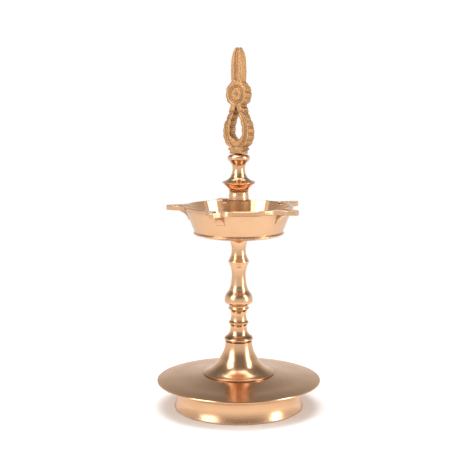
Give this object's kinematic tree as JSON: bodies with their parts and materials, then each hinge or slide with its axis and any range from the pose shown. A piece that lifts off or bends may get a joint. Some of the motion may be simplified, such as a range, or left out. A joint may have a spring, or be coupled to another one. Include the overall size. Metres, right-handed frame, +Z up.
{
  "type": "standing oil lamp",
  "caption": "Brass standing oil lamp: dished foot, trumpet bell, turned stem, spouted oil bowl and a finial with an openwork crest.",
  "frame": {"origin": "on the lamp's axis at the table, under the middle of the foot", "axes": "+Z up along the stem; +X towards one wick spout and along the flat crest's width; +Y square to the crest"},
  "size_m": [0.1172, 0.1172, 0.2548],
  "materials": {
    "polished_brass": "polished",
    "cast_brass": "as cast",
    "fixing_steel": "plain"
  },
  "bodies": {
    "foot": {"base_dish": "polished_brass", "bell_foot": "polished_brass", "foot_rod": "fixing_steel", "foot_washer": "fixing_steel", "foot_nut": "fixing_steel", "stem_ring": "polished_brass"},
    "stem": {"stem": "polished_brass", "bowl_stud": "cast_brass"},
    "bowl": {"bowl": "polished_brass", "bowl_boss": "cast_brass", "bowl_washer": "polished_brass"},
    "finial": {"finial_spindle": "polished_brass", "finial_crest": "cast_brass", "finial_stud": "cast_brass"}
  },
  "joints": [
    {"name": "stem_unscrew", "type": "hinge", "parent": "foot", "child": "stem", "pos_m": [0, 0, 0.0512], "axis": [0, 0, 1], "range_deg": [0, 360]},
    {"name": "bowl_unscrew", "type": "hinge", "parent": "stem", "child": "bowl", "pos_m": [0, 0, 0.1219], "axis": [0, 0, 1], "range_deg": [0, 360]},
    {"name": "finial_unscrew", "type": "hinge", "parent": "bowl", "child": "finial", "pos_m": [0, 0, 0.1491], "axis": [0, 0, 1], "range_deg": [0, 360]}
  ]
}
